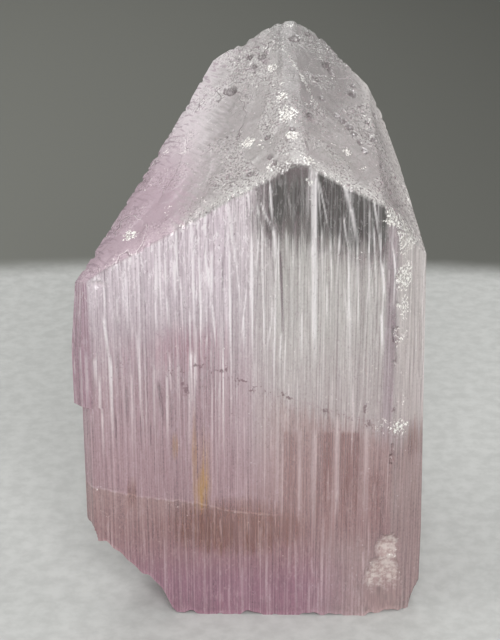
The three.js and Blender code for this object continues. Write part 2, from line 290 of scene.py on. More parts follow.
RIDGES = {
    "count": 1500, "lowest": -5, "highest": 68, "shortest": 6, "longest": 30,
    "thinnest": 0.09, "widest": 0.59, "hollow": -0.3, "proud": 0.24,
}
THREADS = {
    "count": 1900, "lowest": -2, "highest": 62, "shortest": 1.2, "longest": 9,
    "thinnest": 0.06, "widest": 0.15, "lean": 0.1, "lean more above": 36,
}
TAPER = 5  # how far a ridge takes to fade out at its foot
LOW_LIFT = {"least": 0.6, "from": 15, "over": 20}  # low on the crystal the ridges are flatter and duller
LOW_SHINE = {"least": 0.4, "from": 24, "over": 16}
CALM = [  # smooth stretches of the front, where the random ridges shine less
    {"left": 3, "right": 10.5, "bottom": 29, "top": 45.5},
    {"left": 0, "right": 14.5, "bottom": 45, "top": 58},
]
CALM_SHINE = 0.4
BLADES = [  # x and z of the top, x and z of the foot, half width, lift and shine
    (1.0, 50.2, 2.6, 46.3, 0.16, 0.15, 0.9), (2.0, 52.4, 2.4, 47.0, 0.16, 0.2, 1.0),
    (2.45, 47.4, 2.7, 43.2, 0.26, 0.3, 1.0), (2.7, 44.0, 2.65, 32.0, 0.13, 0.1, 0.8),
    (2.95, 47.4, 3.05, 38.0, 0.1, 0.05, 0.7), (3.1, 45.4, 3.6, 33.8, 0.15, -0.2, -1.0),
    (3.7, 47.4, 3.95, 42.4, 0.15, 0.05, 0.5), (4.4, 46.6, 4.6, 41.4, 0.1, 0.05, 0.5),
    (5.1, 46.8, 5.25, 38.0, 0.1, 0.05, 0.5), (5.45, 38.0, 5.5, 31.6, 0.13, 0.1, 0.8),
    (6.45, 55.0, 6.85, 31.0, 0.42, 0.3, 0.8), (6.72, 55.0, 6.85, 43.0, 0.13, 0.15, 1.0),
    (6.1, 54.5, 5.9, 46.5, 0.3, 0.1, 0.45), (7.4, 47.2, 7.65, 39.4, 0.12, 0.05, 0.6),
    (7.05, 52.4, 8.25, 46.4, 0.14, 0.1, 0.65), (8.25, 47.0, 8.65, 39.4, 0.1, 0.05, 0.6),
    (6.9, 53.0, 7.4, 46.3, 0.12, 0.1, 0.55), (8.05, 41.2, 8.15, 35.6, 0.14, 0.1, 0.7),
    (9.2, 46.8, 9.45, 38.0, 0.2, 0.0, 0.3), (9.6, 48.8, 10.2, 44.4, 0.12, 0.1, 0.8),
    (10.2, 45.2, 10.55, 33.0, 0.12, 0.05, 0.7), (9.4, 53.0, 10.4, 49.0, 0.28, 0.3, 0.75),
    (10.35, 49.8, 11.1, 45.6, 0.24, 0.25, 0.7), (11.1, 46.4, 11.5, 33.4, 0.15, 0.1, 0.6),
    (12.75, 47.8, 13.3, 38.4, 0.13, 0.1, 0.8), (12.55, 51.4, 13.3, 46.2, 0.13, 0.1, 0.9),
    (13.3, 47.0, 13.7, 42.8, 0.13, 0.1, 0.6), (13.7, 43.6, 14.2, 38.6, 0.16, 0.15, 0.9),
    (13.7, 38.0, 14.0, 33.0, 0.18, 0.1, 0.8), (15.0, 38.6, 15.2, 32.0, 0.5, 0.0, -0.4),
    (1.2, 47.8, 1.55, 32.0, 0.13, 0.1, 0.9), (0.26, 45.2, 0.26, 32.0, 0.12, 0.1, 0.9),
    (0.7, 50.2, 1.4, 45.6, 0.12, 0.1, 0.6), (-0.2, 51.0, 0.2, 47.6, 0.15, 0.1, 0.5),
    (-0.75, 51.2, -0.5, 45.0, 0.12, 0.1, 0.4), (-2.1, 45.2, -2.1, 32.0, 0.12, 0.05, 0.8),
    (-2.25, 50.0, -1.45, 42.8, 0.2, 0.2, 0.7), (-1.45, 43.6, -0.95, 37.8, 0.1, 0.05, 0.6),
    (-0.63, 37.4, -0.63, 33.0, 0.12, 0.05, 0.8), (-4.0, 45.0, -4.0, 38.0, 0.2, 0.2, 0.9),
    (-4.0, 39.0, -3.6, 33.0, 0.15, 0.1, 0.8), (-5.9, 44.2, -5.95, 36.8, 0.13, 0.1, 0.7),
    (-5.3, 44.2, -5.3, 37.4, 0.12, 0.1, 0.8), (-8.85, 44.0, -8.8, 39.8, 0.15, 0.1, 0.7),
    (-8.75, 39.6, -8.6, 35.4, 0.15, 0.1, 0.6), (-7.9, 43.6, -7.9, 38.6, 0.25, 0.1, 0.6),
    (-9.8, 44.0, -9.8, 38.6, 0.2, 0.05, 0.5), (-13.35, 42.4, -13.4, 37.2, 0.15, 0.1, 0.5),
    (-15.3, 41.4, -15.3, 36.6, 0.15, 0.1, 0.5), (-14.0, 39.6, -14.0, 35.8, 0.15, 0.1, 0.5),
    (-15.5, 37.4, -15.0, 31.4, 0.2, 0.2, 0.7), (-15.0, 33.2, -14.95, 21.0, 0.25, 0.2, 0.6),
    (-16.3, 32.4, -16.3, 28.4, 0.2, 0.1, 0.5), (-15.95, 30.6, -16.15, 20.0, 0.14, 0.1, 0.6),
    (-17.0, 33.4, -17.1, 23.0, 0.15, 0.1, 0.4), (-12.7, 31.0, -12.85, 20.0, 0.15, 0.1, 0.5),
    (-12.0, 35.8, -11.6, 20.0, 0.2, 0.1, 0.4), (-11.2, 30.6, -11.3, 21.0, 0.12, 0.1, 0.4),
    (-10.3, 31.6, -10.45, 20.0, 0.2, 0.1, 0.4), (-8.9, 31.0, -9.05, 20.0, 0.2, 0.1, 0.55),
    (-6.4, 34.0, -6.55, 19.0, 0.35, 0.15, 0.45), (-5.7, 36.2, -5.72, 26.6, 0.14, 0.1, 0.5),
    (-2.95, 37.4, -2.85, 20.0, 0.12, 0.1, 0.5), (-4.2, 34.0, -4.2, 28.8, 0.12, 0.05, 0.3),
    (-9.9, 29.8, -9.3, 23.2, 0.3, -0.2, -0.4), (-8.5, 28.6, -8.5, 23.2, 0.15, -0.1, -0.35),
    (-13.3, 28.8, -13.35, 24.0, 0.2, -0.15, -0.4), (-14.6, 25.6, -14.65, 20.4, 0.15, -0.1, -0.5),
    (-11.9, 25.8, -11.95, 20.4, 0.12, -0.1, -0.4), (-10.85, 24.6, -10.9, 20.4, 0.12, -0.1, -0.4),
    (-14.2, 33.4, -14.1, 28.6, 0.3, 0.0, -0.3), (3.0, 28.2, 3.05, 13.0, 0.2, 0.05, 0.4),
    (9.4, 25.8, 9.6, 11.4, 0.34, 0.05, 0.5), (12.35, 24.6, 12.6, 10.4, 0.4, 0.05, 0.35),
    (5.45, 24.4, 5.5, 12.0, 0.22, 0.05, 0.35), (6.9, 24.4, 6.95, 11.5, 0.28, 0.05, 0.3),
    (3.57, 22.6, 3.6, 11.0, 0.1, 0.05, 0.5), (1.6, 26.4, 1.65, 12.0, 0.15, 0.05, 0.35),
    (0.3, 25.4, 0.3, 11.0, 0.12, 0.05, 0.3), (-1.4, 24.4, -1.4, 12.0, 0.12, 0.05, 0.35),
    (-3.6, 22.4, -3.6, 12.8, 0.12, 0.05, 0.35), (-8.0, 46.0, -7.9, 9.0, 0.5, -0.2, 0.0),
]
RUST_SOFT = 0.12
RUST_FADE = 1.5
RUST = [  # left, right, top and strength of the brown bands low in the front
    (3.65, 5.2, 26, 0.5), (5.85, 6.4, 26, 0.3), (7.35, 8.0, 26, 0.4), (8.05, 9.0, 26, 0.6),
    (9.85, 11.9, 26, 0.7), (13.0, 14.5, 19.5, 0.4), (-0.5, 2.6, 17.5, 0.2),
]

CHIPS = [  # where, half sizes, turns about Z and X in degrees, and the way in if it is the same all over
    ((16.9, -10.5, 3.4), (5.0, 2.4, 6.8), (0, 0), (0, 1, 0)),
    ((15.6, -10.0, 8.2), (2.4, 1.4, 2.6), (20, -15), (0, 1, 0)),
    ((20.2, -7.3, -1.6), (2.2, 4.4, 5.0), (0, 0)),
    ((-16.2, -10.1, 40.4), (1.4, 1.1, 0.6), (10, 40)),
    ((-18.7, -9.1, 9.4), (1.6, 2.0, 2.6), (0, 0)),
    ((15.9, -10.3, 47.2), (1.7, 1.4, 1.7), (30, 20)),
    ((5.4, -10.6, 55.0), (2.4, 1.5, 1.5), (0, 25)),
    ((2.9, 9.9, 64.6), (0.6, 2.2, 0.7), (0, 0)),
    ((-1.4, 9.9, 62.2), (0.8, 2.0, 0.8), (0, 0)),
    ((4.0, 10.7, 1.2), (6.0, 2.4, 3.4), (8, -12), (0, -1, 0)),
]
PIT_SHAPE = np.array([1.25, 1.25, 0.9])  # half sizes over the width below
PITS = [  # on the roof: where and how wide
    (4.5, 7.1, 0.5), (5.9, 8.6, 0.3), (7.9, 5.5, 0.55), (8.4, 4.8, 0.35), (10.7, 3.4, 0.45),
    (10.8, 4.6, 0.3), (13.1, 2.7, 0.45), (6.1, -2.6, 0.35), (7.4, 0.5, 0.3), (9.0, -0.8, 0.35),
    (9.6, -1.1, 0.35), (10.3, -1.5, 0.4), (10.8, -2.1, 0.3), (11.4, -2.9, 0.3), (11.9, -3.7, 0.35),
    (-2.4, 3.9, 0.6), (-2.8, 4.2, 0.4), (0.9, 6.2, 0.4), (-0.4, 7.0, 0.35), (0.2, 5.4, 0.3),
    (1.7, -4.5, 0.3), (2.0, -7.1, 0.35), (2.5, -8.0, 0.35), (0.0, -7.7, 0.35), (4.3, -5.0, 0.3),
    (12.8, -1.4, 0.3), (13.6, -4.0, 0.35), (12.2, 0.6, 0.25), (6.9, 2.8, 0.25),
]
EDGE_NICKS = [  # from, to, how many, smallest and largest half size
    ((-4.5, 9.4), (-18.0, -8.1), 22, 0.12, 0.5),
    ((-16, -9.4), (4, -9.4), 24, 0.15, 0.45),
    ((6.5, -9.4), (15, -9.4), 14, 0.15, 0.5),
    ((-4, 9.4), (7, 9.4), 12, 0.12, 0.4),
    ((7.0, 9.4), (13.9, 4.9), 9, 0.15, 0.45),
    ((13.9, 4.9), (18.2, -6.6), 10, 0.15, 0.45),
]
CRUST = {  # bruised white crumbs up the right edge of the front
    "x": 15.7, "y": -9.1, "bottom": 20, "top": 48, "count": 44, "small": 0.15, "large": 0.5,
    "middle": 16.2, "half": 1.1, "lean": 0.02, "plumb at": 42,
    "thin": 0.3, "thicker": 1.2, "thick above": 34,
}
CRUMBS = [  # where the surface is bruised to white crumbs, how far round it, and how densely
    ((2.1, 3.9, 60.5), 0.9, 1.5), ((3.2, -0.5, 58.6), 1.0, 1.4), ((3.7, -2.9, 57.5), 1.5, 1.6),
    ((4.3, -5.7, 56.1), 0.9, 1.8), ((-0.4, -3.8, 54.6), 1.3, 1.7), ((5.9, -8.6, 54.2), 1.2, 1.3),
    ((6.1, -9.3, 52.4), 1.2, 1.1), ((6.3, -9.3, 50.6), 0.8, 0.6), ((10.0, -5.0, 54.1), 0.9, 1.6),
    ((8.6, -4.9, 54.8), 0.7, 0.8), ((7.4, -5.2, 55.4), 0.7, 0.8), ((11.6, -6.0, 52.6), 0.7, 0.8),
    ((-12.6, -7.0, 45.4), 1.3, 1.5), ((14.7, -9.1, 48.4), 1.6, 2.0), ((16.6, -7.6, 45.8), 1.9, 1.7),
    ((16.3, -8.6, 24.0), 2.0, 1.0), ((14.4, -9.4, 24.6), 1.8, 0.8), ((-9.2, 1.0, 52.0), 0.9, 0.9),
    ((7.6, 8.4, 61.5), 1.1, 0.8), ((8.6, 4.5, 59.4), 1.4, 0.6), ((-5.0, -7.6, 49.6), 1.0, 0.6),
    ((-9.0, -6.6, 48.2), 1.2, 0.7), ((4.0, 8.9, 63.8), 0.8, 0.9), ((6.3, -1.0, 58.2), 1.4, 0.6),
    ((1.4, -5.0, 55.0), 1.4, 0.6), ((2.2, -8.2, 53.6), 1.6, 0.7), ((-16.6, -9.4, 16.3), 1.0, 0.8),
    ((-16.2, -9.4, 13.0), 1.0, 0.6), ((11.3, -9.4, 44.2), 0.9, 0.9), ((13.4, -4.2, 51.6), 1.6, 0.6),
    ((12.2, 1.0, 56.2), 1.3, 0.6), ((16.0, -8.7, 8.0), 1.6, 0.8), ((14.2, -9.2, 6.6), 1.5, 0.6),
]

# Soft patches in the front: kind, where, half sizes and strength. Brown, ochre and rose are stains; a pool
# is painted darkness in the clear window under the gable, standing for the dim view through the glass.
STAINS = [
    ("brown", (-1.8, -9.4, 11.6), (9.5, 3, 4.2), 1.2), ("brown", (-13.0, -9.4, 15.6), (0.7, 3, 2.8), 1.0),
    ("brown", (17.9, -7.0, 22.0), (1.6, 3, 3.4), 0.8), ("ochre", (-6.0, -9.4, 20.0), (0.7, 3, 8.0), 0.7),
    ("ochre", (-4.9, -9.4, 19.0), (0.9, 3, 6.5), 0.6), ("ochre", (-5.3, -9.4, 16.6), (1.3, 3, 3.6), 1.0),
    ("ochre", (-8.2, -9.4, 21.6), (0.5, 3, 2.4), 0.9), ("rose", (-6.8, -9.4, 33.4), (4.6, 3, 3.8), 0.9),
    ("rose", (-3.4, -9.4, 32.8), (1.8, 3, 5.0), 0.7), ("rose", (-12.6, -9.4, 33.0), (3.0, 3, 3.0), 0.5),
    ("pool", (3.1, -9.4, 50.4), (1.4, 3, 3.2), 1.2), ("pool", (4.9, -9.4, 50.5), (1.0, 3, 3.2), 1.2),
    ("pool", (8.8, -9.4, 49.8), (2.8, 3, 5.4), 1.6), ("pool", (13.1, -9.4, 48.2), (1.4, 3, 3.8), 1.5),
    ("pool", (11.4, -9.4, 48.8), (2.6, 3, 5.0), 1.6), ("pool", (7.6, -9.4, 52.0), (1.0, 3, 3.0), 1.2),
]


def between(limits, share):
    """A size from a range in which small ones are as common as large ones."""
    return limits["shortest"] * (limits["longest"] / limits["shortest"]) ** share


rng = np.random.default_rng(7)
hillocks = []
for _ in range(HILLOCKS["count"]):
    long = between(HILLOCKS, rng.uniform())
    heading = rng.uniform(0, 2 * math.pi)
    across, along = 2 * math.pi / long * math.cos(heading), 2 * math.pi / long * math.sin(heading)
    hillocks.append((across, along, HILLOCKS["steepness"] * long, rng.uniform(0, 6)))


def ramp(value):
    return np.clip(value, 0, 1)


def waves(x, y, terms):
    return sum(rise * np.sin(across * x + along * y + start) for across, along, rise, start in terms)


def growth_step(x, y):
    """Above 0 where the roof carries one more shallow layer."""
    return waves(x, y, STEP_WAVES) - STEP_LEVEL


def inwards(x, y):
    """How far a point of the roof lies from its long left edge."""
    return LEFT_EDGE["along y"] * x - LEFT_EDGE["along x"] * y + LEFT_EDGE["out"]


def onwards(x, y):
    """How far a point of the roof lies along its long left edge."""
    return LEFT_EDGE["along x"] * x + LEFT_EDGE["along y"] * y


def from_left_edge(x, y):
    """1 along the roof's long left edge, fading to 0 inwards."""
    return ramp(1.5 - inwards(x, y) / 4)


def worn_edge(x, y):
    """How far the roof is worn down along its long left edge."""
    shape = ramp(1 - inwards(x, y) / WORN["wide"]) ** 2
    return WORN["deep"] * shape * ramp((WORN["ends"] - onwards(x, y)) / WORN["fades"])


def roof_height(x, y):
    """The height of the termination faces over the plan."""
    faces = [f["z"] + f["back"] * (y - FRONT) + f["aside"] * (x - f["x"]) for f in ROOF]
    ripples = EDGE_RIPPLE * np.sin(6.5 * y + 1.4 * x + np.sin(1.3 * x)) * from_left_edge(x, y)
    steps = STEP_HEIGHT * ramp(growth_step(x, y) / STEP_EDGE) * (1 - from_left_edge(x, y))
    return np.minimum.reduce(faces) + waves(x, y, hillocks) + ripples + steps - worn_edge(x, y)


def break_height(x, y):
    """The fracture under the crystal, which rises in two scoops to the left."""
    steep, gentle = [rise * ramp((start - x) / width) ** curve for start, width, curve, rise in SCOOPS]
    back_edge = BACK_RISE["rise"] * np.maximum(0, y - BACK_RISE["from"]) ** BACK_RISE["curve"]
    from_start = np.hypot(x - BREAK_RINGS["x"], y - BREAK_RINGS["y"])
    ripples = BREAK_RINGS["height"] * np.sin(BREAK_RINGS["tight"] * from_start)
    raised = steep + gentle + back_edge + ripples * ramp(steep + back_edge) + BREAK_LEAST
    return np.maximum(0, raised + waves(x, y, BREAK_WAVES))


def outline():
    """The columns round the plan: where they stand, their way out, running distance and edge gap."""
    sides = np.roll(PLAN, -1, axis=0) - PLAN
    lengths = np.hypot(*sides.T)
    outs = np.stack([sides[:, 1], -sides[:, 0]], 1) / lengths[:, None]
    places, ways, runs, gaps = [], [], [], []
    for i, (corner, side, length) in enumerate(zip(PLAN, sides, lengths)):
        share = np.linspace(0, 1, round(length / COLUMN_GAP[i]), endpoint=False)
        way = np.repeat(outs[i : i + 1], len(share), 0)
        way[0] = (outs[i] + outs[i - 1]) / np.linalg.norm(outs[i] + outs[i - 1])
        places.append(corner + share[:, None] * side)
        ways.append(way)
        runs.append(lengths[:i].sum() + share * length)
        gaps.append(np.minimum(share, 1 - share) * length)
    return [np.concatenate(part) for part in (places, ways, runs, gaps)]


def growth_marks(run, gap, z):
    """How far the growth ridges lift each column, and how they shine, one row of heights a column."""
    lift, shine = np.zeros_like(z), np.zeros_like(z)

    def add(start, top, end, bottom, half, height, glint):
        close = (run > min(start, end) - half) & (run < max(start, end) + half)
        heights = z[close]
        middle = start + (end - start) * (top - heights) / (top - bottom)
        across = ramp(1 - np.abs(run[close][:, None] - middle) / half)
        taper = min(TAPER, (top - bottom) / 2)
        ends = ramp((heights - bottom) / taper) * ramp((top - heights) / (0.25 * taper))
        lift[close] += height * across * ends
        shine[close] += glint * ramp(1.7 * across) * ends

    def from_below(fade):
        return fade["least"] + (1 - fade["least"]) * ramp((z - fade["from"]) / fade["over"])

    girth = run[-1] + COLUMN_GAP[-1]
    for _ in range(RIDGES["count"]):
        at, middle = rng.uniform(0, girth), rng.uniform(RIDGES["lowest"], RIDGES["highest"])
        reach = between(RIDGES, rng.uniform())
        half = RIDGES["thinnest"] + (RIDGES["widest"] - RIDGES["thinnest"]) * rng.uniform() ** 3
        height = half * rng.uniform(RIDGES["hollow"], RIDGES["proud"])
        add(at, middle + reach, at, middle - reach, half, height, height / half * 0.9 * rng.uniform())
    lift *= from_below(LOW_LIFT)
    for _ in range(THREADS["count"]):
        at, middle = rng.uniform(0, girth), rng.uniform(THREADS["lowest"], THREADS["highest"])
        reach = between(THREADS, rng.uniform())
        half = rng.uniform(THREADS["thinnest"], THREADS["widest"])
        glint = rng.choice([-0.5, 1, 1]) * rng.uniform(0.3, 1) ** 2
        lean = rng.normal(0, THREADS["lean"]) * (1 + 2 * ramp((middle - THREADS["lean more above"]) / 8))
        add(at - lean, middle + reach, at + lean, middle - reach, half, 0.1 * half, glint)
    shine *= from_below(LOW_SHINE)
    x = run[:, None] + PLAN[0][0]
    for calm in CALM:
        inside = ramp(x - calm["left"]) * ramp(calm["right"] - x)
        inside = inside * ramp((z - calm["bottom"]) / 2) * ramp((calm["top"] - z) / 2)
        shine *= 1 - (1 - CALM_SHINE) * inside
    for start, top, end, bottom, half, height, glint in BLADES:
        add(start - PLAN[0][0], top, end - PLAN[0][0], bottom, half, height, glint)
    lift *= ramp(0.2 + gap)[:, None] * ramp(0.3 + (z[:, -1:] - z) / 2.5)
    return lift, np.clip(shine, -1, 1)


def brown_bands(x, y, z):
    """How rusty the low bands of the front are."""
    rust = np.zeros_like(z)
    for left, right, top, strength in RUST:
        band = ramp((x - left) / RUST_SOFT + 0.5) * ramp((right - x) / RUST_SOFT + 0.5)
        rust = np.maximum(rust, strength * band * ramp((top - z) / RUST_FADE))
    return rust * (y < -8)


def side_shift(x, z):
    """How far the sides stand to the right: out where they swell, and back at the left's proud blade."""
    beside = ramp(1 - (x - PLAN[-1][0]) / BLADE["reach"])
    above = (z > LEDGE) * ramp((BLADE["top"] - z) / (BLADE["top"] - BLADE["fullest"]))
    swell = ramp((x - SWELL["from"]) / SWELL["width"]) * ramp((SWELL["top"] - z) / SWELL["height"])
    return SWELL["out"] * swell - BLADE["proud"] * beside * above


def wall():
    """The prism's sides: a grid of points, each point's way in, and its shine."""
    place, way, run, gap = outline()
    x, y = place.T
    foot = break_height(x, y)[:, None]
    top = roof_height(x, y)[:, None]
    lower = foot + (LEDGE - LEDGE_HALF - foot) * np.linspace(0, 1, LOWER_ROWS)
    upper = LEDGE + LEDGE_HALF + (top - LEDGE - LEDGE_HALF) * np.linspace(0, 1, UPPER_ROWS)
    z = np.concatenate([lower, upper], 1)
    lift, shine = growth_marks(run, gap, z)
    px = x[:, None] + way[:, :1] * lift + side_shift(x[:, None], z)
    py = y[:, None] + way[:, 1:] * lift
    z[:, -1] = roof_height(px[:, -1], py[:, -1])
    z[:, 0] = break_height(px[:, 0], py[:, 0])
    inward = np.zeros((*z.shape, 3))
    inward[..., :2] = -way[:, None, :]
    inward[:, -1, 2] = -1
    inward[:, 0, 2] = 1
    return np.stack([px, py, z], -1), inward, shine


def within(points, middle, half, turn):
    """The points seen from a stretched and turned ball, where they are at 1 on its skin, and its turn."""
    about_z = Matrix.Rotation(math.radians(turn[0]), 3, "Z")
    turned = np.array(about_z @ Matrix.Rotation(math.radians(turn[1]), 3, "X"))
    return (points - middle) @ turned / half, turned


def cap(rim, spacing, height, chips=()):
    """The points and triangles that close a rim, on a height function; no point lies in a chip."""
    low, high = PLAN.min(0), PLAN.max(0)
    in_row, rows_at = np.arange(low[0], high[0], spacing), np.arange(low[1], high[1], spacing * CAP_ROWS)
    xs, ys = np.meshgrid(in_row, rows_at)
    xs = xs + (np.arange(len(ys)) % 2)[:, None] * spacing / 2
    dots = np.stack([xs.ravel(), ys.ravel()], 1)
    dots = dots + rng.uniform(-CAP_SHAKE, CAP_SHAKE, dots.shape) * spacing
    sides = np.roll(PLAN, -1, axis=0) - PLAN
    outs = np.stack([sides[:, 1], -sides[:, 0]], 1) / np.hypot(*sides.T)[:, None]
    inside = (((dots[:, None] - PLAN) * outs).sum(-1) < -CAP_MARGIN).all(1)
    dots = dots[inside]
    for middle, half, turn, *_ in chips:
        seen, _ = within(np.column_stack([dots, height(*dots.T)]), middle, half, turn)
        dots = dots[np.linalg.norm(seen, axis=1) > CHIP_MARGIN]
    flat = [Vector(p) for p in np.concatenate([rim[:, :2], dots])]
    made = delaunay_2d_cdt(flat, [], [list(range(len(rim)))], 1, 1e-7)
    source = [old[0] if old else -1 for old in made[3]]
    triangles = [[source[i] for i in face] for face in made[2]]
    return np.column_stack([dots, height(*dots.T)]), triangles


def carve(points, inward, middle, half, turn):
    """Pushes the points that lie in a stretched ball along their way in, to its far side."""
    close = np.nonzero(np.abs(points - middle).max(1) < max(half))[0]
    q, turned = within(points[close], middle, half, turn)
    e = inward[close] @ turned / half
    inside = (q * q).sum(1) < 1
    close, q, e = close[inside], q[inside], e[inside]
    a, b, c = (e * e).sum(1), (q * e).sum(1), (q * q).sum(1) - 1
    step = (-b + np.sqrt(b * b - a * c)) / a
    points[close] += inward[close] * step[:, None]
    return close, step


def nicks(count, small, large, path):
    """Small scoops of random size along a path, few of them large."""
    for _ in range(count):
        sizes = small + (large - small) * rng.uniform(0, 1) ** 2 * rng.uniform(0.5, 1, 3)
        yield path(rng.uniform()), sizes, rng.uniform(0, 180, 2)


def on_roof(x, y):
    return np.array([x, y, roof_height(x, y)])


def roof_path(start, end):
    start, end = np.array(start), np.array(end)
    return lambda share: on_roof(*(start + (end - start) * share))


def crust_path(share):
    height = CRUST["bottom"] + (CRUST["top"] - CRUST["bottom"]) * share
    return np.array([CRUST["x"] + rng.normal(0, 0.3), CRUST["y"], height])


grid, grid_inward, grid_shine = wall()
columns, rows = grid.shape[:2]
roof_points, roof_faces = cap(grid[:, -1], ROOF_GAP, roof_height)
break_points, break_faces = cap(grid[:, 0], BREAK_GAP, break_height, CHIPS)
first_roof = columns * rows
first_break = first_roof + len(roof_points)

points = np.concatenate([grid.reshape(-1, 3), roof_points, break_points])
down = np.tile((0, 0, -1.0), (len(roof_points), 1))
up = np.tile((0, 0, 1.0), (len(break_points), 1))
inward = np.concatenate([grid_inward.reshape(-1, 3), down, up])
inward /= np.linalg.norm(inward, axis=1)[:, None]
x, y, z = points.T

FULL_MARK = {"chip": 0.6, "pit": 0.15, "bruise": 0.15}  # how deep a cut is where its mark is full
MARK_VALUE = {"chip": 1, "pit": 1, "bruise": 0.5}
kinds = ("shine", "rust", "bruise", "chip", "pit", "roof", "break", "brown", "ochre", "rose", "pool")
marks = {name: np.zeros(len(points)) for name in kinds}
marks["shine"][:first_roof] = grid_shine.ravel()
marks["rust"] = brown_bands(x, y, z)
marks["step"] = growth_step(x, y)
marks["roof"][first_roof:first_break] = 1
marks["roof"][rows - 1 : first_roof : rows] = 1
marks["break"][first_break:] = 1
marks["break"][0:first_roof:rows] = 1

crust_side = np.abs(x + CRUST["lean"] * (z - CRUST["plumb at"]) - CRUST["middle"]) / CRUST["half"]
crusty = ramp(1 - crust_side) * (y < -7) * (y > -9.5)
crusty *= ramp((z - CRUST["bottom"]) / 4) * ramp((CRUST["top"] + 1 - z) / 1.5)
crusty *= CRUST["thin"] + CRUST["thicker"] * ramp((z - CRUST["thick above"]) / 5)
marks["bruise"] += crusty * (1 + 0.5 * np.sin(1.7 * z) + 0.4 * np.sin(0.9 * z + 2))
for middle, reach, amount in CRUMBS:
    close = ramp(1 - np.linalg.norm(points - middle, axis=1) / reach)
    marks["bruise"] += amount * close * close * (3 - 2 * close)

for kind, middle, half, strength in STAINS:
    inside = ramp(1 - np.linalg.norm((points - middle) / half, axis=1))
    marks[kind] = np.maximum(marks[kind], strength * np.sqrt(inside))

cuts = [("chip", *cut) for cut in CHIPS]
cuts += [("pit", on_roof(px, py), wide * PIT_SHAPE, (0, 0)) for px, py, wide in PITS]
for start, end, count, small, large in EDGE_NICKS:
    cuts += [("bruise", *nick) for nick in nicks(count, small, large, roof_path(start, end))]
cuts += [("bruise", *nick) for nick in nicks(CRUST["count"], CRUST["small"], CRUST["large"], crust_path)]
for kind, middle, half, turn, *straight in cuts:
    way = np.broadcast_to(straight[0], points.shape) if straight else inward
    cut, depth = carve(points, way, np.array(middle), np.array(half), turn)
    marks[kind][cut] += ramp(depth / FULL_MARK[kind]) * MARK_VALUE[kind]


def corner(index, row, first):
    """The number of a cap's point: one of the wall's rim, or one of its own dots."""
    return index * rows + row if index < columns else first + index - columns


around = np.arange(columns)[:, None] * rows
after = np.roll(around, -1, axis=0)
level = np.arange(rows - 1)[None, :]
quads = np.stack([around + level, after + level, after + level + 1, around + level + 1], -1)
faces = quads.reshape(-1, 4).tolist()
faces += [[corner(i, rows - 1, first_roof) for i in face] for face in roof_faces]
faces += [[corner(i, 0, first_break) for i in reversed(face)] for face in break_faces]

points[:, :2] -= (points[:, :2].max(0) + points[:, :2].min(0)) / 2
SHARP_FROM = 25  # degrees
mesh = bpy.data.meshes.new("kunzite crystal")
mesh.from_pydata((points * MM).tolist(), [], faces)
mesh.validate()
for name, values in marks.items():
    layer = mesh.attributes.new(name, "FLOAT", "POINT")
    layer.data.foreach_set("value", np.clip(values, -4, 4).astype(np.float32))
mesh.polygons.foreach_set("use_smooth", [True] * len(mesh.polygons))
mesh.set_sharp_from_angle(angle=math.radians(SHARP_FROM))
mesh.update()
print("crystal triangles", sum(len(face) - 2 for face in faces))


def mark(place, name):
    """A value that the mesh carries at its points."""
    return place.node("Attribute", {"attribute_name": name}, output=2)


def near(value, middle, half):
    """1 at a middle value and 0 from half away."""
    return ease(abs(value - middle), half, half * 0.3)


def distance(place, middle, half):
    """0 at the middle of a stretched ball, and 1 on it."""
    scale = tuple(1 / size for size in half)
    start = tuple(-at / size for at, size in zip(middle, half))
    away = place.node("VectorMath", {"operation": "MULTIPLY_ADD"}, _0=place, _1=scale, _2=start)
    return away.node("VectorMath", {"operation": "LENGTH"}, output=1, _0=away)


def blot(place, middle, half, soft=0.5):
    """A soft-edged patch inside a stretched ball."""
    return ease(distance(place, middle, half), 1, 1 - soft)


SPECKS = [  # dark specks in the front: x, z, half width and half height
    (-5.9, 31.5, 0.3, 0.25), (-5.3, 31.3, 0.25, 0.2), (-3.2, 30.9, 0.45, 0.22), (-2.6, 31.0, 0.3, 0.3),
    (-7.3, 29.3, 0.25, 0.25), (-6.9, 28.6, 0.3, 0.7), (-0.8, 29.7, 0.5, 0.2), (0.3, 28.6, 0.4, 0.25),
    (3.6, 28.2, 0.35, 0.35), (4.1, 27.7, 0.45, 0.25), (8.1, 26.2, 0.4, 0.3), (12.4, 26.6, 0.25, 0.5),
    (12.8, 24.7, 0.3, 0.5), (15.6, 26.4, 0.4, 0.4), (16.0, 22.9, 0.4, 0.4), (16.6, 19.2, 0.35, 0.3),
]
FAULT = [(-18, 31.5), (-8, 30.5), (-6, 31.6), (-1, 29.6), (3.8, 27.8), (12.5, 25), (18.2, 21.4)]
LOW_CRACK = [(-18, 16.6), (-12.7, 15.4), (-5.5, 14.5), (-2.2, 13.6), (3.3, 13.1), (18.2, 13.0)]
CRACK_SPAN = 20  # to either side of the middle
CRACK_TOP = 64


def path_height(x, turns):
    """The height of a bent line over x."""
    heights = [((at + CRACK_SPAN) / (2 * CRACK_SPAN), up / CRACK_TOP) for at, up in turns]
    stops = [(at, (up, up, up, 1)) for at, up in heights]
    share = (x + CRACK_SPAN) / (2 * CRACK_SPAN)
    return CRACK_TOP * share.node("ValToRGB", {"stops": stops}, Fac=share)


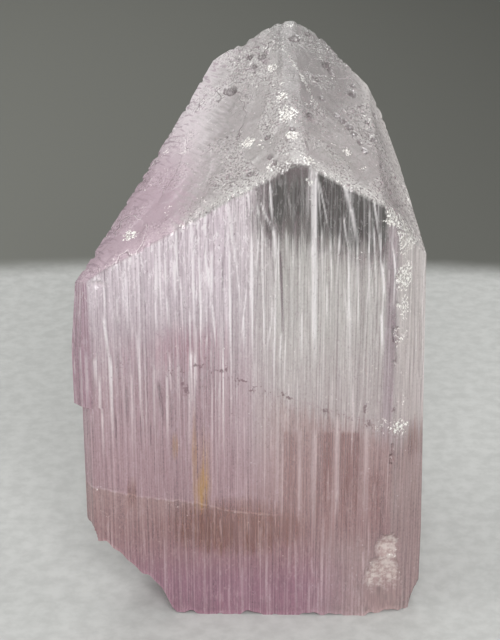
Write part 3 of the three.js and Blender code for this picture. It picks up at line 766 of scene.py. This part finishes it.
def striated_sides(place, granule, etch):
    """The colour, clouding and fine height of the prism's sides."""
    x, y, z = axes(place)
    shine, rust, chipped = mark(place, "shine"), mark(place, "rust"), mark(place, "chip").at_most(1)
    fine = grain(place, (1, 1, 0.03), 5.0, 1.0, 0.6)
    lines = grain(place, (1, 1, 0.01), 5.6, 1.0, 0.75)
    wide = grain(place, (1, 1, 0.03), 1.6, 1.0, 0.5)
    broad = grain(place, (1, 1, 0.06), 0.45, 0.0)
    wander = x.node("CombineXYZ", {}, X=0.9 * (etch - 0.5), Y=0.0, Z=0.0)
    wispy = place.node("VectorMath", {"operation": "ADD"}, _0=place, _1=wander)
    dash = grain(wispy, (1, 1, 0.12), 5.5, 1.0, 0.6)
    ragged = 5 * (fine - 0.5) + 4 * (wide - 0.5)

    # where the front, the warm and the low parts, the edges and the clear, painted-dark window lie
    front = ease(y, -8.0, -8.8)
    forward = ease(y, -3.5, -6.6)
    busy = (0.35 + 0.65 * forward) * (1 - 0.75 * chipped)
    left = (ease(x + 5 * (broad - 0.5), 4, -3) + 0.7 * ease(y, -6, -3)).at_most(1)
    high = ease(z, 34, 46)
    low = ease(z, 32, 20)
    foot = ease(z, 11, 3.5) * ease(x, 15, 7)
    fault = path_height(x, FAULT)
    low_crack = path_height(x, LOW_CRACK)
    warm_right = ease(z - fault + 0.8 * ragged, 1.0, -3.0) * ease(x, -1, 5)
    warm_left = ease(z - low_crack, 0.3, -0.3) * ease(x, 6, 2)
    warm = forward * (warm_right + warm_left) + 0.7 * (1 - forward) * ease(z + 6 * (broad - 0.5), 30, 6)
    bevel = ease(x, 15.2, 15.8) * ease(z, 20, 26) * forward
    strip = near(x, 14.8, 0.9) * ease(z, 20, 28) * ease(z, 48, 47.4) * front
    rosy_edge = ease(x, -16.9, -17.4) * ease(z, 25, 27) * ease(z, 44, 42)
    clear_window_painted_dark = ease(x + 0.9 * ragged, -0.2, 1.8) * ease(x, 14.4, 13.9)
    clear_window_painted_dark = clear_window_painted_dark * ease(z + ragged + 0.25 * (x - 6), 43.6, 47.6) * front
    # the pools: where the window's painted darkness is deepest
    deep = clear_window_painted_dark * ease(mark(place, "pool") + 0.15 * ragged, 0.15, 0.9)
    clear_back = blot(place, (6.5, 8, 44), (8.5, 6, 6.5), 0.7)

    # the colours, from the whole face to the single stains
    milk = stained(left, paint("dcdad5"), paint("e9dbe4"))
    milk = stained(ease(z, 40, 26) * (0.35 + 0.65 * left), milk, paint("cbadb5"))
    milk = stained(0.8 * ease(z, 26, 17), milk, paint("c4a2a9"))
    milk = stained(0.8 * warm, milk, paint("bd9c98"))
    milk = stained(0.35 * ease(z, 16, 9), milk, paint("a36c74"))
    milk = stained(0.7 * foot, milk, paint("9f708b"))
    pale_right = (ease(x, 5, 11) * ease(z, 13, 8)).at_least(0.9 * ease(x, 15.2, 15.8)) * forward
    milk = stained(0.35 * pale_right, milk, paint("d6c8c4"))
    milk = stained(rust * ease(z, 23.9, 23.3) * ease(z, 8, 16) * (0.2 + 1.6 * fine), milk, paint("8a5850"))
    for name, amount, colour in [("brown", 1.0, "8d5b49"), ("ochre", 1.0, "d6a766"), ("rose", 0.7, "c994a3")]:
        patch = ease(mark(place, name) + 0.12 * ragged, 0.2, 1.1)
        milk = stained(amount * patch * (0.3 + 1.2 * fine), milk, paint(colour))
    milk = stained(0.7 * rosy_edge, milk, paint("b2869a"))
    milk = stained(0.4 * strip, milk, paint("ac92a6"))
    milk = stained(0.35 * bevel, milk, paint("efe8e6"))

    # the clear window's painted darkness, the ridges' painted glints and shades, and the crumbled chips
    smooth = (1 - chipped) * (1 - 0.5 * ease(x, 15.6, 16.4) * forward)
    # the ridges' shine is painted: a painted glint above 0, a painted shade line below; glow is the glint
    # colour
    bright = (shine * smooth).at_least(0)
    dark = (0 - shine * smooth).at_least(0)
    glow = stained(low, paint("f6f1f3"), paint("d8c6c9"))
    # painted shade: the window dark grey and its pools near black, for the dim view through the clear glass
    milk = stained(0.9 * clear_window_painted_dark, milk, stained(deep, paint("555652"), paint("161715")))
    milk = stained(0.7 * dark, milk, paint("7f6d78"))
    # darker and paler fine lines; the paler ones take the painted glint colour
    milk = stained(0.22 * busy * ease(lines, 0.5, 0.36), milk, paint("7d6c72"))
    milk = stained(0.25 * busy * (1 - 0.6 * deep) * ease(lines, 0.5, 0.64), milk, glow)
    milk = stained(0.9 * bright, milk, glow)
    # painted glints: short bright dashes, most in the upper left
    glints = ease(dash, 0.52, 0.66) * smooth * (0.25 + 0.75 * left * high).at_most(1)
    milk = stained(0.6 * busy * glints, milk, glow)
    milk = stained(0.2 * busy * ease(granule, 0.43, 0.28), milk, paint("7d6c72"))
    flaked = chipped * ease(z, 1.5, 5.5)
    crumbled = ease(flaked + 1.8 * (etch - 0.5), 0.1, 1.2)
    milk = stained(0.75 * crumbled, milk, stained(ease(etch, 0.4, 0.6), paint("c6b0ab"), paint("e4d9d4")))

    # the two old cracks and the dark specks along the upper one
    crack_line = near(z - fault + 0.9 * (etch - 0.5), 0.0, 0.12) * ease(x, 2, 4) * ease(wide, 0.42, 0.52)
    nearest = distance(place, (0, FRONT, 60), (1, 1, 1))
    for speck_x, speck_z, wide_half, high_half in SPECKS:
        size = (2 * wide_half, 1, 2 * high_half)
        nearest = nearest.at_most(distance(place, (speck_x, FRONT, speck_z), size))
    speckled = (0.35 * near(z - fault, 0.0, 0.8) * ease(broad, 0.45, 0.55)).at_least(ease(nearest, 1, 0))
    specks = ease(0.34 * speckled - granule, -0.34, -0.24)
    dark_marks = ((0.6 * crack_line + specks) * front).at_most(1) * smooth
    milk = stained(0.75 * dark_marks, milk, paint("5c3f48"))
    pale_crack = near(z - low_crack + 0.8 * (etch - 0.5), 0.0, 0.2) * ease(x, 6, -1) * front
    milk = stained(0.25 * pale_crack * ease(etch, 0.4, 0.6), milk, paint("eadcda"))

    # 0 is clear glass and 1 is milky
    clouding = 0.54 + 0.27 * left * high - 0.3 * clear_window_painted_dark + 0.64 * deep - 0.46 * clear_back + 0.12 * foot
    clouding = clouding - 0.12 * (1 - forward) + 0.1 * bevel + (0.45 + 0.1 * clear_window_painted_dark) * bright - 0.25 * dark
    clouding = clouding + 0.2 * busy * glints + 0.25 * (fine - 0.5) + (0.25 + 0.2 * clear_window_painted_dark) * (lines - 0.5)
    clouding = clouding + 0.25 * busy * (granule - 0.5) + 0.35 * crumbled
    clouding = clouding + 0.5 * dark_marks + 0.1 * pale_crack
    height = busy * (smooth * (0.5 * fine + 0.2 * lines) + 0.2 * granule) + 0.5 * flaked * etch
    return milk, clouding, height


def rightwards(x, y):
    """How far a point of the roof lies towards its right rim."""
    return 0.937 * x + 0.35 * y


def etched_roof(place, granule, etch):
    """The colour, clouding and fine height of the termination faces."""
    x, y, z = axes(place)
    step = mark(place, "step")
    drift = grain(place, (1, 1, 1), 0.3, 0.0)
    from_edge = inwards(x, y)
    along_edge = onwards(x, y)
    feather_place = x.node("CombineXYZ", {}, X=2.6 * along_edge + 0.5 * from_edge, Y=0.5 * from_edge, Z=0.0)
    feather = grain(feather_place, (1, 1, 1), 1.3, 1.0, 0.6)

    # where the pink band, the rims, the ridge and the etched patches lie
    band = ease(x - 0.18 * y + 3.3 + 5 * (feather - 0.5), 1.7, -4.8)
    right_rim = ease(rightwards(x, y), 11.5, 15.0)
    gable_edge = ease(y, -7.4, -9.0)
    ridge = near(x + 0.2 * y, 3.0, 2.6)
    lens = blot(place, (8.9, -6.3, 54.0), (2.4, 1.1, 3), 0.8)
    peak_etch = blot(place, (0.3, 7.0, 60.5), (3.0, 3.6, 4.0))
    etched = ease(drift + 0.4 * (etch - 0.5), 0.44, 0.56).at_least(0.7 * right_rim).at_least(0.25 * ridge)
    calm_patch = blot(place, (-2.5, 0.5, 55.8), (4.5, 6, 4.5), 0.7)
    etched = (0.2 + 0.8 * etched.at_least(0.6 * gable_edge)) * (1 - 0.6 * band) * (1 - 0.75 * calm_patch)
    # painted shade in the notches between the feathers near the long left edge and round the peak
    notch_painted_shade = ease(feather, 0.49, 0.38) * (ease(from_edge, 5.0, 0.5) + peak_etch).at_most(1)
    rim_light = near(step, 0.05, 0.06) * ease(drift, 0.4, 0.52)
    rim_shade = near(step, -0.07, 0.06) * ease(drift, 0.4, 0.52)
    # the pits are real hollows in the mesh; the darkening in them below is painted shade
    pit = ease(mark(place, "pit"), 0.15, 0.7)

    # the colours, from the two halves to the grains
    shaded = ease(z, 54, 59) * ease(x + 0.2 * y, 2.8, 4.5) * ease(x, 13, 8) * (1 - right_rim)
    pink = stained(ease(z, 49, 56), paint("cfbac4"), paint("fdf4f8"))
    milk = stained(band, stained(0.6 * shaded + 0.15 * calm_patch, paint("e3e1de"), paint("8e908c")), pink)
    milk = stained(0.5 * right_rim, milk, paint("e9e2e0"))
    # the notches' painted shade
    milk = stained(0.65 * notch_painted_shade, milk, paint("87757f"))
    # painted shade at the growth steps' edges and in the pits
    milk = stained((0.5 * rim_shade).at_least(0.75 * pit), milk, paint("62585a"))
    milk = stained(0.35 * rim_light, milk, paint("fbf8f4"))
    milk = stained(0.7 * etched * ease(granule, 0.46, 0.36), milk, paint("6d6264"))
    milk = stained(0.6 * etched * ease(granule, 0.56, 0.68), milk, paint("fbf8f4"))
    milk = stained(0.35 * lens, milk, paint("d2d5cd"))

    # 0 is clear glass and 1 is milky
    clouding = 0.38 + 0.26 * band + 0.8 * etched * (granule - 0.5) + 0.15 * gable_edge + 0.05 * etched
    clouding = clouding + 0.3 * right_rim + 0.15 * rim_light + 0.2 * pit + 0.2 * notch_painted_shade
    height = 0.6 * etch + 0.6 * granule + 0.5 * ease(step, -0.06, 0.06) - pit
    return milk, clouding, (0.4 + 0.6 * ease(drift, 0.44, 0.56)) * height


def white_crumbs(place, granule, etch):
    """Where the surface is bruised to white crumbs."""
    x, y = axes(place)[:2]
    roof = mark(place, "roof")
    gable_edge = ease(y, -7.6, -9.0) * roof
    vein = near(x + 0.2 * (y + 9.4) + 1.5 * (etch - 0.5), 5.1, 1.7) * roof
    scratch = near(x + 0.54 * y + 2 * (etch - 0.5), 6.3, 0.18) * ease(y, -1.2, 0) * ease(y, 6.5, 5.5)
    right_rim = ease(rightwards(x, y), 12.5, 15.5) * roof
    density = mark(place, "bruise") + 0.2 * vein + 0.15 * gable_edge + 0.15 * right_rim + 0.1 * roof
    field = 0.7 * granule + 0.5 * etch + 0.22 * density.at_most(1.2)
    return ease(field, 0.8, 0.86).at_least(0.5 * scratch * ease(granule, 0.42, 0.54) * roof)


IOR = 1.66
PINK = (0.80, 0.42, 0.62, 1)  # what the glass lets through
PINK_DENSITY = 12.0
ROUGHNESS = {"cloudy": 0.27, "clear": 0.1, "more on the roof": 0.15, "more in crumbs": 0.4}
CLEAREST, MILKIEST = 0.02, 0.97
RELIEF = {"strength": 0.6, "depth": 0.2}


def kunzite():
    material, output, place = new_material("kunzite")
    z = axes(place)[2]
    roof, broken = mark(place, "roof"), mark(place, "break")
    granule = grain(place, (1, 1, 0.8), 4.5, 2.0, 0.75)
    etch = grain(place, (1, 1, 1), 1.6, 3.0, 0.7)
    side_milk, side_cloud, side_relief = striated_sides(place, granule, etch)
    roof_milk, roof_cloud, roof_relief = etched_roof(place, granule, etch)
    crumbs = white_crumbs(place, granule, etch)
    etched_corner = blot(place, (3.9, -9.0, 53.6), (1.9, 1.6, 1.3), 0.6)

    milk = stained(roof, side_milk, roof_milk)
    milk = stained(0.7 * etched_corner * ease(granule, 0.56, 0.46), milk, paint("6f6868"))
    milk = stained(crumbs, milk, stained(ease(granule, 0.46, 0.6), paint("aba4a0"), paint("fffdf9")))
    clouding = (1 - roof) * (side_cloud + 0.2 * broken) + roof * roof_cloud + 0.8 * crumbs
    clouding = (clouding + 0.15 * etched_corner).at_most(MILKIEST).at_least(CLEAREST)

    height = (1 - roof) * side_relief + roof * roof_relief
    bump = place.node("Bump", {}, Height=height, Strength=RELIEF["strength"], Distance=RELIEF["depth"] * MM)
    tint = stained(ease(z, 30, 8), paint("f4f2f2"), paint("e3c7cc"))
    rough = ROUGHNESS["clear"] + ROUGHNESS["more on the roof"] * roof
    rough = rough + ROUGHNESS["more in crumbs"] * crumbs
    clear = place.node(
        "BsdfPrincipled", {}, Base_Color=tint, Roughness=rough, IOR=IOR, Transmission_Weight=1.0, Normal=bump
    )
    cloudy = place.node(
        "BsdfPrincipled", {}, Base_Color=milk, Roughness=ROUGHNESS["cloudy"], IOR=IOR, Normal=bump
    )
    mixed = place.node("MixShader", {}, _0=clouding, _1=clear, _2=cloudy)
    pink = place.node("VolumeAbsorption", {}, Color=PINK, Density=PINK_DENSITY)
    finish_material(output, mixed, pink)
    return material


crystal = bpy.data.objects.new("kunzite_crystal", mesh)
mesh.materials.append(kunzite())
bpy.context.collection.objects.link(crystal)
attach(crystal, "root")
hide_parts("crystal")
